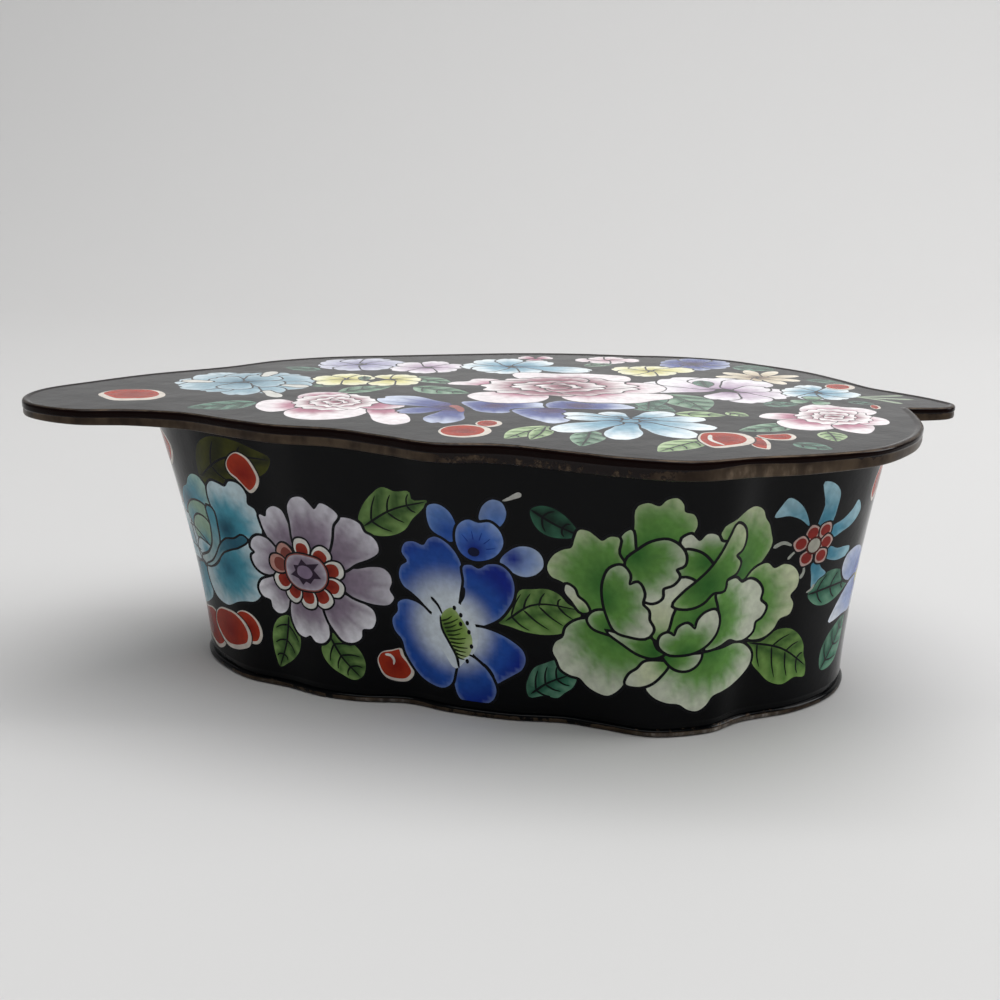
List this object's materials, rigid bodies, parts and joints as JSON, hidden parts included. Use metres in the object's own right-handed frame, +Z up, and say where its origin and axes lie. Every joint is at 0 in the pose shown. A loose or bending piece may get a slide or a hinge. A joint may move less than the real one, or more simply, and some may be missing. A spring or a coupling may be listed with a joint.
{
  "type": "trinket box",
  "caption": "Leaf-shaped enamelled metal trinket box with a lobed flaring body and a flat overhanging lift-off lid.",
  "frame": {"origin": "middle of the box's outline on the surface that it stands on", "axes": "+X along the leaf from its tip to its stem, +Y to the back, +Z up"},
  "size_m": [0.1504, 0.09, 0.0462],
  "materials": {
    "body_enamel": "glossy black enamel over copper sheet, painted with flowers",
    "lid_enamel": "glossy black enamel over copper sheet, painted with flowers, worn bronze-brown along the rim"
  },
  "bodies": {
    "root": {"box_body": "body_enamel", "lid": "lid_enamel"}
  },
  "joints": []
}
